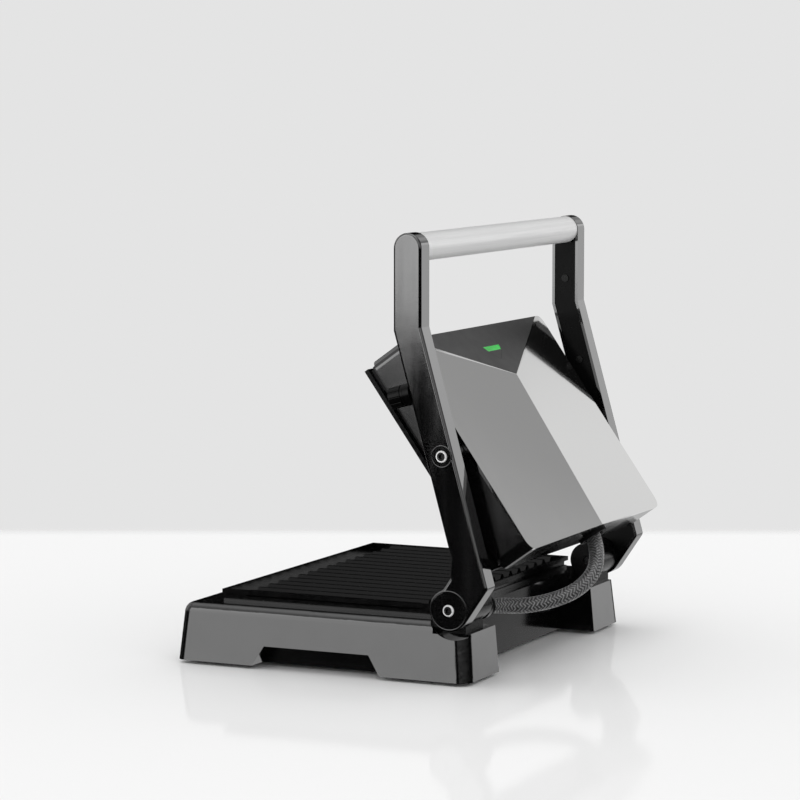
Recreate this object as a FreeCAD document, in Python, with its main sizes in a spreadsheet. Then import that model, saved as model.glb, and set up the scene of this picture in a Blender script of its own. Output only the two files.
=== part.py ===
"""Panini press: ribbed lower plate in a base, ribbed upper plate in a lid, two bent arms and a handle.

Row frame: X across, Y from front to back, Z up, in millimetres. The origin is on the resting plane,
under the middle of the base. Lid pieces are modelled level about the lid's pivot, then tilted open.
"""
import FreeCAD
import Part
import Sketcher
import math
import os
import re

V = FreeCAD.Vector
doc = FreeCAD.newDocument("PaniniPress")

SIZES = {
    # base: outer shell, its hand notches, the recess in its rear wall and the low blocks beside it
    "base_width": 331, "base_depth": 264, "base_foot": 3, "base_top": 50.7, "base_draft": 5.3,
    "corner_front": 8.5, "corner_rear": 12, "front_round": 9, "wall": 3,
    "back_wall": 99.4, "block_top": 41, "recess_half": 103.5, "cavity_half": 157, "cavity_back": 87,
    "notch_front": -61.6, "notch_rear": 54.4, "notch_slope": 10.8, "notch_top": 19.5, "notch_floor": 147,
    "foot_radius": 9, "cover_thick": 2.5, "screw_radius": 1.7, "screw_head": 3.2,
    # ribbed plates, the same above and below
    "plate_width": 288, "plate_depth": 190.6, "plate_rim": 3.6, "rim_wall": 3, "pan_step": 2.6,
    "pan_height": 4, "pan_floor": 2.7, "rib_pitch": 18.3, "rib_count": 16, "rib_foot": 10.4,
    "rib_crest": 3.6, "rib_rise": 4.3, "channel_front": 18.6, "channel_rear": 10, "heater_radius": 3.2,
    "heater_reach": 84, "heater_bend": 30, "shield_inset": 10, "shield_depth": 19, "sheet_thick": 0.8,
    # lower plate's place
    "plate_front": -99.6, "plate_top": 60.9, "bezel_rise": 2.4,
    # hinge of the arms on the base
    "hinge_y": 118, "hinge_z": 62.2, "ear_inner": 120, "ear_outer": 154, "ear_radius": 15,
    "bolt_radius": 3.45, "bore_radius": 3.5, "ring_radius": 4.8, "ring_thick": 1.1, "eye_recess": 25.5,
    # arms: a straight grip part, a slanted long part and a hooked end round the hinge
    "arm_inner": 156, "arm_thick": 16.5, "arm_width": 24, "arm_slant": 15.7, "bend_y": 81.6, "bend_z": 284,
    "disc_radius": 17, "tail_angle": 34, "arm_skin": 2.4, "arm_edge": 2.2, "hook_high": 112.3, "hook_round": 5,
    "hook_mid": 104, "hook_low": 88, "hook_foot": 76.5, "heel_round": 4, "strap_thick": 4,
    "grip_y": 81.7, "grip_z": 347.8, "grip_radius": 11.4, "tube_wall": 1.2, "plug_length": 12,
    # knob on the right arm's front edge, measured from the arm's centre line
    "knob_along": 49.7, "knob_radius": 8.8, "knob_length": 12.7, "collar_length": 5.5, "knob_gap": 0.35,
    # lid: distances from its pivot, forward and down negative, with the lid level
    "pivot_y": 111.8, "pivot_z": 184.5, "lid_angle": 54.5, "lid_half": 144, "lid_front": -100, "lid_rear": 98,
    "housing_low": -20.5, "housing_high": 8, "lid_corner_front": 8, "lid_corner_rear": 10,
    "front_edge": 11.5, "rear_edge": 10, "apex_forward": -46, "apex_high": 21.5, "ridge_rear": 14.2,
    "cover_skin": 1.6, "panel_half": 133, "panel_gap": 0.25, "lid_plate_front": -97, "lid_plate_low": -30,
    "window_front": -78.5, "window_depth": 5, "window_half": 16.5, "boss_radius": 7.4, "lid_gap": 0.4,
    # distance from the middle of the base back to the middle of the whole, where the frame has its origin
    "frame_back": 26.75,
    # lead from the right hinge to the lid
    "lead_radius": 6.5, "outlet_y": 122, "outlet_z": 57, "gland_x": -18, "gland_high": -6,
}

sheet = doc.addObject("Spreadsheet::Sheet", "Sizes")
for row, (alias, number) in enumerate(SIZES.items(), start=1):
    sheet.set(f"A{row}", alias)
    sheet.set(f"B{row}", str(number))
    sheet.setAlias(f"B{row}", alias)
doc.recompute()

NODES = []


def formula(text):
    """Sheet formula from text that names cells by their bare aliases."""
    return re.sub(r"[a-z_]+", lambda word: f"Sizes.{word[0]}" if word[0] in SIZES else word[0], str(text))


def number_of(text):
    """Number that a formula gives with the sheet as it is."""
    result = sheet.evalExpression(formula(text))
    return float(getattr(result, "Value", result))


def bind(item, **formulas):
    """Bind properties to formulas; a double underscore stands for a dot in the property's path."""
    for path, text in formulas.items():
        item.setExpression(path.replace("__", "."), formula(text))
    return item


def place(item, x=0, y=0, z=0):
    """Bind an object's position."""
    return bind(item, Placement__Base__x=x, Placement__Base__y=y, Placement__Base__z=z)


def turned(item, axis, angle):
    """Give an object a fixed turn; its position may be bound afterwards."""
    item.Placement = FreeCAD.Placement(V(), FreeCAD.Rotation(V(*axis), angle))
    return item


def box(name, x, y, z, length, width, height):
    """Box from its low corner and its sizes along X, Y and Z."""
    item = doc.addObject("Part::Box", name)
    bind(item, Length=length, Width=width, Height=height)
    return place(item, x, y, z)


def rod(name, radius, length, x, y, z, axis="z"):
    """Cylinder that starts at a point and runs along +X, +Y or +Z."""
    item = doc.addObject("Part::Cylinder", name)
    bind(item, Radius=radius, Height=length)
    turns = {"x": ((0, 1, 0), 90), "y": ((1, 0, 0), -90), "z": ((0, 0, 1), 0)}
    return place(turned(item, *turns[axis]), x, y, z)


def cut(name, base, *tools):
    """Base without the tools."""
    item = doc.addObject("Part::Cut", name)
    item.Base = base
    item.Tool = tools[0] if len(tools) == 1 else join(name + "Tools", tools)
    return item


def join(name, pieces):
    """Pieces that touch become one solid; separate pieces stay a group of solids."""
    item = doc.addObject("Part::MultiFuse", name)
    item.Shapes = list(pieces)
    item.Refine = True
    return item


def common(name, first, second):
    """What two shapes share."""
    item = doc.addObject("Part::Common", name)
    item.Base = first
    item.Tool = second
    return item


def mirrored(name, source, normal=(1, 0, 0)):
    """Mirror copy through the origin."""
    item = doc.addObject("Part::Mirroring", name)
    item.Source = source
    item.Normal = V(*normal)
    return item


def node(name, item):
    """Register a finished sub-part; its label names its file."""
    item.Label = name
    NODES.append(item)
    return item


def prism(name, plane, points, start, length):
    """Body with a straight-sided outline, padded from a distance along the plane's normal."""
    body = doc.addObject("PartDesign::Body", name)
    sketch = body.newObject("Sketcher::SketchObject", name + "Outline")
    sketch.AttachmentSupport = [(item, "") for item in body.Origin.OriginFeatures if item.Role == plane]
    sketch.MapMode = "FlatFace"
    spots = [V(number_of(across), number_of(up), 0) for across, up in points]
    count = len(spots)
    for index, spot in enumerate(spots):
        sketch.addGeometry(Part.LineSegment(spot, spots[(index + 1) % count]), False)
    for index in range(count):
        sketch.addConstraint(Sketcher.Constraint("Coincident", index, 2, (index + 1) % count, 1))
        for axis, text, value in zip("XY", points[index], (spots[index].x, spots[index].y)):
            constraint = Sketcher.Constraint(f"Distance{axis}", -1, 1, index, 1, value)
            sketch.renameConstraint(sketch.addConstraint(constraint), f"Corner{index}{axis}")
            sketch.setExpression(f"Constraints.Corner{index}{axis}", formula(text))
    bind(sketch, AttachmentOffset__Base__z=start)
    pad = body.newObject("PartDesign::Pad", name + "Pad")
    pad.Profile = sketch
    bind(pad, Length=length)
    return body


def rectangle(x0, x1, y0, y1):
    """Corner formulas of a rectangle."""
    return [(x0, y0), (x1, y0), (x1, y1), (x0, y1)]


def round_edges(body, name, radius, chosen):
    """Fillet the edges that the chooser accepts and make the fillet the body's tip."""
    doc.recompute()
    last = body.Tip
    edges = [f"Edge{count}" for count, edge in enumerate(body.Shape.Edges, start=1) if chosen(edge)]
    fillet = body.newObject("PartDesign::Fillet", name)
    fillet.Base = (last, edges)
    bind(fillet, Radius=radius)
    return body


def soften(name, item, alias, chosen):
    """Fillet chosen edges of a boolean result by one of the sheet's radii."""
    doc.recompute()
    fillet = doc.addObject("Part::Fillet", name)
    fillet.Base = item
    radius = number_of(alias)
    fillet.Edges = [(spot, radius, radius) for spot, edge in enumerate(item.Shape.Edges, start=1)
                    if chosen(edge)]
    return fillet


def upright(edge):
    """True for a long edge that runs mostly upward."""
    start, end = edge.Vertexes[0].Point, edge.Vertexes[-1].Point
    return abs(end.z - start.z) > 0.9 * edge.Length > 10


def tilted(item, rearward=0, up=0):
    """Turn a level lid piece about the lid's pivot to the open angle, after an offset in the lid."""
    turned(item, (-1, 0, 0), SIZES["lid_angle"])
    return bind(item, Placement__Rotation__Angle="lid_angle",
                Placement__Base__y=f"pivot_y + ({rearward}) * cos(lid_angle) + ({up}) * sin(lid_angle)",
                Placement__Base__z=f"pivot_z - ({rearward}) * sin(lid_angle) + ({up}) * cos(lid_angle)")


def pair(right_name, left_name, item):
    """Register a right-hand piece and its mirror copy on the left."""
    node(right_name, item)
    return node(left_name, mirrored(left_name, item))


# ---------------------------------------------------------------- base

def base_housing():
    """Tapered shell, open below, with a plate opening, hand notches, a rear recess and hinge recesses."""
    outer = prism("HousingBlock", "XY_Plane",
                  rectangle("-base_width / 2", "base_width / 2", "-base_depth / 2", "base_depth / 2"),
                  "base_foot", "base_top - base_foot")
    bind(outer.Tip, TaperAngle="-base_draft")
    low_front, high = -number_of("base_depth / 2"), number_of("base_top")
    round_edges(outer, "RearCorners", "corner_rear",
                lambda edge: edge.BoundBox.YMin > 100 and upright(edge))
    round_edges(outer, "FrontTopRound", "front_round",
                lambda edge: edge.BoundBox.YMax < 0 and edge.BoundBox.ZMin > high - 0.1 and edge.Length > 50)
    round_edges(outer, "FrontCorners", "corner_front",
                lambda edge: edge.BoundBox.YMax < low_front * 0.9 and abs(edge.BoundBox.XMin) > 150
                and edge.BoundBox.ZMin < number_of("base_foot + 1") and edge.BoundBox.ZLength > 20)
    cavity = box("HousingCavity", "-cavity_half", "-base_depth / 2 + wall + 3", 0,
                 "cavity_half * 2", "base_depth / 2 - wall - 3 + cavity_back", "base_top - wall")
    cavity_middle = box("HousingCavityRear", "-cavity_half + 7", "cavity_back - 1", 0,
                        "cavity_half * 2 - 14", "back_wall - wall - cavity_back + 1", "base_top - wall")
    hollow = cut("HousingHollow", outer, cavity, cavity_middle)
    liners = [box(f"NotchLiner{side}", x, "notch_front - 4", "base_foot", "16", "notch_rear - notch_front + 8",
                  "notch_top")
              for side, x in (("R", "notch_floor - wall"), ("L", "-notch_floor + wall - 16"))]
    full = join("HousingFull", [hollow] + liners)
    notch_points = [("notch_front - notch_slope * 0.2", "-1"), ("notch_front + notch_slope", "notch_top"),
                    ("notch_rear - notch_slope", "notch_top"), ("notch_rear + notch_slope * 0.2", "-1")]
    notches = [prism("NotchRight", "YZ_Plane", notch_points, "notch_floor", "40"),
               prism("NotchLeft", "YZ_Plane", notch_points, "-notch_floor - 40", "40")]
    tools = notches + [
        box("RearRecess", "-recess_half", "back_wall", -1, "recess_half * 2", 60, "base_top + 2"),
        box("BlockTops", "-200", "back_wall", "block_top", 400, 60, 40),
        box("PlateOpening", "-plate_width / 2 + 5.5", "plate_front + 5.5", "base_top - wall - 1",
            "plate_width - 11", "plate_depth - 11", 20),
        rod("EyeRecessRight", "eye_recess", 40, "ear_outer", "hinge_y", "hinge_z", "x"),
        rod("EyeRecessLeft", "eye_recess", 40, "-ear_outer - 40", "hinge_y", "hinge_z", "x"),
    ]
    tools += [box(f"BlockCavity{side}", x, "back_wall + wall", 0, 42, 18, "block_top - wall")
              for side, x in (("R", "recess_half + wall"), ("L", "-recess_half - wall - 42"))]
    tools.append(rod("CordInletHole", 6, 20, "-60", "back_wall - 10", 31, "y"))
    return node("base_housing", cut("BaseHousing", full, *tools))


def bottom_cover():
    """Flat cover in the housing's open underside, cut out round the hand notches."""
    sheet_part = box("CoverSheet", "-cavity_half + 0.5", "-base_depth / 2 + wall + 3.5", "base_foot",
                     "cavity_half * 2 - 1", "base_depth / 2 - wall - 4 + cavity_back", "cover_thick")
    reliefs = [box(f"CoverRelief{side}", x, "notch_front - 4.5", 0, 40, "notch_rear - notch_front + 9", 20)
               for side, x in (("R", "notch_floor - wall - 0.5"), ("L", "-notch_floor + wall + 0.5 - 40"))]
    screws, slots, holes = [], [], []
    for index, (x, y) in enumerate([(x, y) for x in (-96, 0, 96) for y in (-112, 70)]):
        screws.append(rod(f"CoverScrewHead{index}", "screw_head", 1, x, y, "base_foot - 1"))
        screws.append(rod(f"CoverScrewShank{index}", "screw_radius", "cover_thick + 2", x, y, "base_foot - 0.5"))
        slots.append(box(f"CoverScrewSlot{index}", x - 2.2, y - 0.4, "base_foot - 1.3", 4.4, 0.8, 0.8))
        holes.append(rod(f"CoverScrewHole{index}", "screw_radius + 0.1", 20, x, y, -5))
    node("base_bottom_cover", cut("BottomCover", sheet_part, *reliefs, *holes))
    node("bottom_cover_screws", cut("BottomCoverScrews", join("CoverScrewBlanks", screws), *slots))


def rubber_feet():
    """Four round feet that stand a little below the housing's edge."""
    feet = [rod(f"Foot{index}", "foot_radius", "base_foot", x, y, 0)
            for index, (x, y) in enumerate([(-130, -108), (130, -108), (-125, 74), (125, 74)])]
    node("rubber_feet", join("RubberFeet", feet))


def grill_plate(name):
    """Ribbed cast plate, ribs up: its rim's front left-to-right edge at Y 0, its rim's top at Z 0."""
    flange = box(name + "Flange", "-plate_width / 2", 0, "-plate_rim", "plate_width", "plate_depth", "plate_rim")
    pan = box(name + "Pan", "-plate_width / 2 + pan_step", "pan_step", "-plate_rim - pan_height",
              "plate_width - pan_step * 2", "plate_depth - pan_step * 2", "pan_height")
    pocket = box(name + "Pocket", "-plate_width / 2 + rim_wall", "rim_wall",
                 "-plate_rim - pan_height + pan_floor", "plate_width - rim_wall * 2",
                 "plate_depth - rim_wall * 2", "plate_rim + pan_height")
    blank = join(name + "Blank", [flange, pan])
    floor = "-plate_rim - pan_height + pan_floor"
    rib = prism(name + "Ribs", "XZ_Plane",
                [(f"-rib_pitch * (rib_count - 1) / 2 - rib_foot / 2", f"{floor} - 0.2"),
                 (f"-rib_pitch * (rib_count - 1) / 2 + rib_foot / 2", f"{floor} - 0.2"),
                 (f"-rib_pitch * (rib_count - 1) / 2 + rib_crest / 2", f"{floor} + rib_rise"),
                 (f"-rib_pitch * (rib_count - 1) / 2 - rib_crest / 2", f"{floor} + rib_rise")],
                "-plate_depth + rim_wall + channel_rear",
                "plate_depth - rim_wall * 2 - channel_front - channel_rear")
    pattern = rib.newObject("PartDesign::LinearPattern", name + "RibRow")
    pattern.Originals = [rib.Group[1]]
    pattern.Direction = (rib.Group[0], ["H_Axis"])
    bind(pattern, Length="rib_pitch * (rib_count - 1)", Occurrences="rib_count")
    rib.Tip = pattern
    return join(name + "Plate", [cut(name + "Tray", blank, pocket), rib])


def heater(name):
    """Tube heater in three U bends, flat at Z 0, its middle at X 0 and Y 0."""
    pieces = []
    for index in range(4):
        x = f"heater_bend * {2 * index - 3}"
        pieces.append(rod(f"{name}Leg{index}", "heater_radius", "heater_reach", x, "-heater_reach / 2", 0, "y"))
    for index in range(3):
        bend = doc.addObject("Part::Torus", f"{name}Bend{index}")
        bind(bend, Radius1="heater_bend", Radius2="heater_radius", Angle3="180")
        turned(bend, (0, 0, 1), 0 if index % 2 == 0 else 180)
        end = "heater_reach / 2" if index % 2 == 0 else "-heater_reach / 2"
        pieces.append(place(bend, f"heater_bend * {2 * index - 2}", end, 0))
    return join(name, pieces)


def heat_shield(name):
    """Sheet tray, open upward, its floor's underside at Z 0 and its front wall at Y 0."""
    outer = box(name + "Outer", "-plate_width / 2 + shield_inset", 0, 0, "plate_width - shield_inset * 2",
                "plate_depth - shield_inset * 2", "shield_depth")
    inner = box(name + "Inner", "-plate_width / 2 + shield_inset + sheet_thick", "sheet_thick", "sheet_thick",
                "plate_width - (shield_inset + sheet_thick) * 2",
                "plate_depth - (shield_inset + sheet_thick) * 2", "shield_depth")
    return cut(name, outer, inner)


def thermostat(name):
    """Snap disc with two blade terminals, standing on Z 0 and pointing down."""
    return join(name, [rod(name + "Disc", 10, 7, 0, 0, -7),
                       box(name + "BladeA", -5, -3, -11, 0.8, 6, 5),
                       box(name + "BladeB", 4.2, -3, -11, 0.8, 6, 5)])


def studs(name):
    """Four studs from Z 0 upward, at the corners of the heater's field."""
    return join(name, [rod(f"{name}{index}", 2.4, "shield_depth - sheet_thick - 0.1", x, y, "sheet_thick")
                       for index, (x, y) in enumerate([(-118, -60), (118, -60), (-118, 60), (118, 60)])])


def lower_plate_group():
    """Plate, bezel, heater, shield, thermostat and studs of the base."""
    node("lower_plate", place(grill_plate("LowerPlate"), 0, "plate_front", "plate_top"))
    pan_low = "plate_top - plate_rim - pan_height"
    ring = box("BezelRing", "-plate_width / 2 + 1", "plate_front + 1", "base_top", "plate_width - 2",
               "plate_depth - 2", "bezel_rise")
    drop = box("BezelDrop", "-plate_width / 2 + 5.7", "plate_front + 5.7", "base_top - wall",
               "plate_width - 11.4", "plate_depth - 11.4", "wall")
    hole = box("BezelHole", "-plate_width / 2 + 7.3", "plate_front + 7.3", 0, "plate_width - 14.6",
               "plate_depth - 14.6", 90)
    node("lower_plate_bezel", cut("LowerBezel", join("BezelBody", [ring, drop]), hole))
    middle = "plate_front + plate_depth / 2"
    node("lower_heating_element", place(heater("LowerHeater"), 0, middle, f"{pan_low} - heater_radius - 0.05"))
    node("lower_heat_shield", place(heat_shield("LowerShield"), 0, "plate_front + shield_inset",
                                    f"{pan_low} - shield_depth"))
    node("lower_thermostat", place(thermostat("LowerThermostat"), 0, f"{middle} - 5", f"{pan_low} - 0.05"))
    node("lower_plate_studs", place(studs("LowerStud"), 0, middle, f"{pan_low} - shield_depth"))


def base_electrics():
    """Terminal block on the bottom cover and the mains cord's gland in the rear wall."""
    block = box("TerminalBody", -90, 66, "base_foot + cover_thick", 44, 18, 14)
    wells = [rod(f"TerminalWell{index}", 2.6, 8, -82 + 14 * index, 75, 14) for index in range(3)]
    node("terminal_block", cut("TerminalBlock", block, *wells))
    flange = rod("GlandFlange", 7.2, 3.5, -60, "back_wall", 31, "y")
    neck = rod("GlandNeck", 5.9, 9, -60, "back_wall - 9", 31, "y")
    tail = rod("GlandTail", 5.2, 5, -60, "back_wall + 3.5", 31, "y")
    bore = rod("GlandBore", 3.4, 40, -60, "back_wall - 15", 31, "y")
    node("mains_cord_gland", cut("MainsGland", join("GlandBody", [flange, neck, tail]), bore))


def hinge_ears():
    """Bosses on the rear blocks that carry the arms; the right one also lets the lead out."""
    def ear(name, extra, x):
        boss = rod(name + "Boss", "ear_radius", "ear_outer - ear_inner", x, "hinge_y", "hinge_z", "x")
        foot = box(name + "Foot", x, "hinge_y - 13", "block_top", "ear_outer - ear_inner", 20,
                   "hinge_z - block_top")
        return join(name + "Body", [boss, foot] + extra)
    bore_right = rod("EarBoreRight", "bore_radius", 80, "ear_inner - 5", "hinge_y", "hinge_z", "x")
    bore_left = rod("EarBoreLeft", "bore_radius", 80, "-ear_outer - 5", "hinge_y", "hinge_z", "x")
    barrel = rod("LeadBarrel", 9.3, 6, "ear_inner - 6", "outlet_y", "outlet_z", "x")
    node("right_hinge_ear", cut("RightEar", ear("RightEar", [barrel], "ear_inner"), bore_right))
    node("left_hinge_ear", cut("LeftEar", ear("LeftEar", [], "-ear_outer"), bore_left))
    collar = rod("CollarBody", 9, 6, "ear_inner - 12", "outlet_y", "outlet_z", "x")
    groove = cut("CollarGroove", rod("CollarRing", 9.8, 1.4, "ear_inner - 9.7", "outlet_y", "outlet_z", "x"),
                 rod("CollarCore", 8.2, 2, "ear_inner - 10", "outlet_y", "outlet_z", "x"))
    bore = rod("CollarOpening", "lead_radius + 0.8", 20, "ear_inner - 14", "outlet_y", "outlet_z", "x")
    node("lead_outlet_collar", cut("LeadCollar", collar, groove, bore))


def pivot_bolt(name, start, y, z):
    """Shoulder bolt along X from the start to just past the arm's outer face, with a hex socket."""
    outer = "arm_inner + arm_thick"
    shank = rod(name + "Shank", "bolt_radius", f"{outer} + 0.7 - ({start})", start, y, z, "x")
    socket = doc.addObject("Part::Prism", name + "Socket")
    bind(socket, Polygon=6, Circumradius=2.3, Height=3)
    place(turned(socket, (0, 1, 0), 90), f"{outer} - 1.6", y, z)
    return cut(name, shank, socket)


def ring_washer(name, y, z):
    """Bright dished ring on the arm's outer face, round a bolt's end."""
    outer = "arm_inner + arm_thick"
    disc = doc.addObject("Part::Cone", name + "Cone")
    bind(disc, Radius1="ring_radius", Radius2="ring_radius - 0.5", Height="ring_thick")
    place(turned(disc, (0, 1, 0), 90), outer, y, z)
    return cut(name, disc, rod(name + "Hole", "bolt_radius + 0.07", 9, f"{outer} - 2", y, z, "x"))


def hinge_hardware():
    """Bolts, thrust rings and ring washers of the lower hinge."""
    pair("right_hinge_bolt", "left_hinge_bolt", pivot_bolt("HingeBolt", "ear_inner + 2", "hinge_y", "hinge_z"))
    bush = cut("HingeBush", rod("BushBody", 9, 1.6, "ear_outer", "hinge_y", "hinge_z", "x"),
               rod("BushHole", "bore_radius", 9, "ear_outer - 3", "hinge_y", "hinge_z", "x"))
    pair("right_hinge_bush", "left_hinge_bush", bush)
    pair("right_hinge_washer", "left_hinge_washer", ring_washer("HingeWasher", "hinge_y", "hinge_z"))


# ---------------------------------------------------------------- arms

def arm_form(name, inset, start, length):
    """Right arm's side view, drawn in by an inset and given a thickness along X."""
    half = f"(arm_width / 2 - ({inset}))"
    shift = f"{half} / cos(arm_slant)"
    bend = f"{half} * tan(arm_slant / 2)"
    disc = f"(disc_radius - ({inset}))"
    tail_y = f"(hinge_y + {disc} * cos(tail_angle))"
    tail_z = f"(hinge_z - {disc} * sin(tail_angle))"
    heel = (f"((bend_y + {shift} + bend_z * tan(arm_slant) - {tail_y} + {tail_z} * tan(tail_angle))"
            f" / (tan(arm_slant) + tan(tail_angle)))")
    points = [
        (f"grip_y - {half}", "grip_z"),
        (f"grip_y - {half}", f"bend_z - {bend}"),
        (f"bend_y - {shift} + (bend_z - hook_high) * tan(arm_slant)", "hook_high"),
        (f"hinge_y + 2.3 + ({inset})", "hook_mid"),
        (f"hinge_y + 1.2 + ({inset})", "hook_low"),
        (f"hinge_y - 6.5 + ({inset})", "hook_foot"),
        (f"hinge_y - {disc} * cos(30)", f"hinge_z + {disc} * sin(30)"),
        (tail_y, tail_z),
        (f"bend_y + {shift} + (bend_z - {heel}) * tan(arm_slant)", heel),
        (f"grip_y + {half}", f"bend_z + {bend}"),
        (f"grip_y + {half}", "grip_z"),
    ]
    blade = prism(name + "Blade", "YZ_Plane", points, start, length)
    if inset == 0:
        round_edges(blade, name + "Heel", "heel_round", at_heel)
    top = rod(name + "Top", half, length, start, "grip_y", "grip_z", "x")
    eye = rod(name + "Eye", disc, length, start, "hinge_y", "hinge_z", "x")
    return join(name, [blade, top, eye])


def at_heel(edge):
    """True for the edge along X at the arm's rear heel, above the hinge."""
    middle = edge.CenterOfMass
    along_x = edge.BoundBox.XLength > 0.9 * edge.Length
    return along_x and middle.y > number_of("hinge_y + 28") and middle.z < number_of("hook_low")


def at_hook(edge):
    """True for the edges along X on the arm's front side, from the hinge to the slanted part."""
    middle = edge.CenterOfMass
    along_x = edge.BoundBox.XLength > 0.9 * edge.Length
    return along_x and middle.y < number_of("hinge_y + 3") and 75 < middle.z < number_of("hook_high + 1")


def arm_holes(name, radius):
    """Holes for the hinge bolt, the lid's bolt and the handle's screw."""
    spots = [("hinge_y", "hinge_z"), ("pivot_y", "pivot_z")]
    return [rod(f"{name}{index}", radius, 60, "arm_inner - 20", y, z, "x") for index, (y, z) in enumerate(spots)]


def on_outer_face(edge):
    """True for an edge that lies in the arm's outer face."""
    return edge.BoundBox.XMin > number_of("arm_inner + arm_thick") - 0.01 and edge.Length > 1


def arms():
    """Outer shells, steel straps, inner covers and their screws, right and left."""
    form = soften("ArmHookSoft", arm_form("ArmOuter", 0, "arm_inner", "arm_thick"), "hook_round", at_hook)
    outer = soften("ArmSoft", form, "arm_edge", on_outer_face)
    hollow = arm_form("ArmHollow", "arm_skin", "arm_inner - 1", "arm_thick + 1 - arm_skin")
    shell = cut("ArmShell", outer, hollow, *arm_holes("ShellHole", "bolt_radius + 0.35"))
    stud_hole = set_on_arm(rod("KnobStudHole", 2.6, 40, 0, 0, 0), 2)
    node("right_arm_shell", cut("RightArmShell", shell, stud_hole))
    node("left_arm_shell", mirrored("LeftArmShell", shell))
    strap = cut("ArmStrap", arm_form("StrapForm", "arm_skin + 2", "arm_inner + 4", "strap_thick"),
                *arm_holes("StrapHole", "bore_radius"),
                rod("StrapScrewHole", 2.7, 60, "arm_inner - 20", "grip_y", "grip_z", "x"))
    pair("right_arm_strap", "left_arm_strap", strap)
    cover = cut("ArmCover", arm_form("CoverForm", "arm_skin + 0.15", "arm_inner + 0.8", 2),
                *arm_holes("CoverHole", "bolt_radius + 0.4"),
                rod("CoverScrewHole", 2.7, 60, "arm_inner - 20", "grip_y", "grip_z", "x"))
    pair("right_arm_inner_cover", "left_arm_inner_cover", cover)
    screws = []
    for index, (y, z) in enumerate([("grip_y", 305), ("bend_y + 14", 234), ("hinge_y + 15", 92)]):
        screws.append(rod(f"ArmScrewHead{index}", "screw_head", 1, "arm_inner - 0.2", y, z, "x"))
    right = join("ArmScrewsRight", screws)
    node("arm_cover_screws", join("ArmScrews", [right, mirrored("ArmScrewsLeft", right)]))


def set_on_arm(item, distance):
    """Stand a piece on the arm's front edge, its own Z pointing away from the arm's centre line."""
    turned(item, (1, 0, 0), 90 + SIZES["arm_slant"])
    bind(item, Placement__Rotation__Angle="90 + arm_slant")
    return place(item, "arm_inner + arm_thick / 2",
                 f"bend_y + knob_along * sin(arm_slant) - ({distance}) * cos(arm_slant)",
                 f"bend_z - knob_along * cos(arm_slant) - ({distance}) * sin(arm_slant)")


def handle():
    """Metal tube between the arms, its end plugs, tie rod and the two screws that hold them."""
    length = "arm_inner * 2"
    tube = cut("HandleTube", rod("TubeOuter", "grip_radius", length, "-arm_inner", "grip_y", "grip_z", "x"),
               rod("TubeInner", "grip_radius - tube_wall", f"{length} + 2", "-arm_inner - 1", "grip_y", "grip_z", "x"))
    node("handle_tube", tube)
    bore = "grip_radius - tube_wall - 0.05"
    plug = cut("PlugRight", rod("PlugBody", bore, "plug_length", "arm_inner - plug_length", "grip_y", "grip_z", "x"),
               rod("PlugBore", 2.6, 60, "arm_inner - 40", "grip_y", "grip_z", "x"))
    node("handle_end_plugs", join("EndPlugs", [plug, mirrored("PlugLeft", plug)]))
    screw = join("HandleScrewRight", [rod("HandleScrewShank", 2.5, "plug_length + 8", "arm_inner - plug_length",
                                          "grip_y", "grip_z", "x"),
                                      rod("HandleScrewHead", 4.5, 2.5, "arm_inner + 8", "grip_y", "grip_z", "x")])
    node("handle_screws", join("HandleScrews", [screw, mirrored("HandleScrewLeft", screw)]))
    node("handle_tie_rod", rod("TieRod", 3, "(arm_inner - plug_length) * 2", "-arm_inner + plug_length",
                               "grip_y", "grip_z", "x"))


def knob():
    """Fixed collar on the right arm's front edge and the fluted knob that turns in it."""
    front = "arm_width / 2"
    ring = rod("CollarRound", "knob_radius + 0.3", "collar_length", 0, 0, 0)
    collar = cut("KnobCollar", set_on_arm(ring, front), set_on_arm(rod("CollarBore", 2.6, 60, 0, 0, 0), "-20"))
    node("knob_collar", collar)
    head = rod("KnobHead", "knob_radius", "knob_length", 0, 0, 0)
    flutes = []
    for index in range(12):
        angle = f"{index * 30}"
        flutes.append(rod(f"KnobFlute{index}", 0.7, 20, f"(knob_radius + 0.25) * cos({angle})",
                          f"(knob_radius + 0.25) * sin({angle})", 3))
    groove = cut("KnobGroove", rod("KnobGrooveOuter", 12, 1.1, 0, 0, 1.5),
                 rod("KnobGrooveCore", "knob_radius - 0.7", 4, 0, 0, 0))
    pointer = box("KnobPointer", -0.8, 1.5, "knob_length - 0.7", 1.6, 5, 3)
    level = cut("KnobLevel", head, *flutes, groove, pointer)
    node("height_knob", set_on_arm(level, f"{front} + collar_length + knob_gap"))
    stud = rod("KnobStud", 2.5, f"{front} + collar_length + knob_gap - 8.2", 0, 0, 0)
    node("height_knob_stud", set_on_arm(stud, 8.2))


# ---------------------------------------------------------------- lid

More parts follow.
